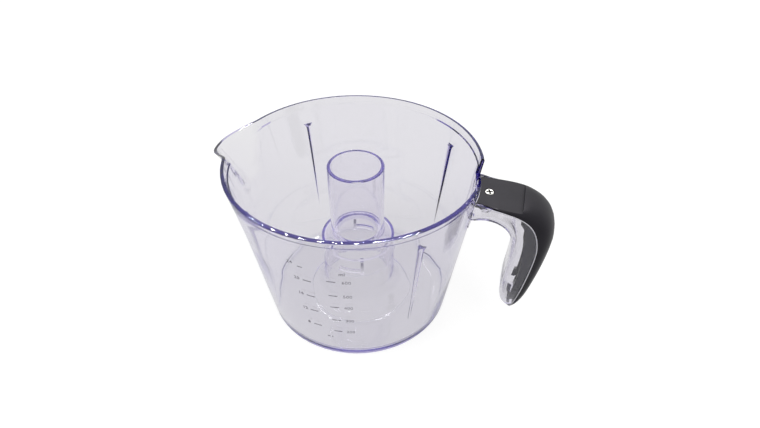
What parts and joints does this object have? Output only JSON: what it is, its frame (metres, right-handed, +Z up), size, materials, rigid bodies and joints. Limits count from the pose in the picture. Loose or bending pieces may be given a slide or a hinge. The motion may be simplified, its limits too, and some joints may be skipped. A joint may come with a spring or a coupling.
{
  "type": "jug of a citrus juicer",
  "caption": "Clear tapered jug with a pouring spout, a central drive column and a covered grip handle, for a citrus juicer.",
  "frame": {"origin": "centre of the open mouth under the drive socket, on the plane that the jug stands on", "axes": "+Z up along the column, +X towards the handle, the spout at -X"},
  "size_m": [0.1854, 0.134, 0.097],
  "materials": {
    "clear_plastic": "gloss",
    "charcoal_plastic": "satin",
    "screw_steel": "satin"
  },
  "bodies": {
    "root": {"jug_body": "clear_plastic", "handle_cover": "charcoal_plastic", "cover_screw": "screw_steel"}
  },
  "joints": []
}
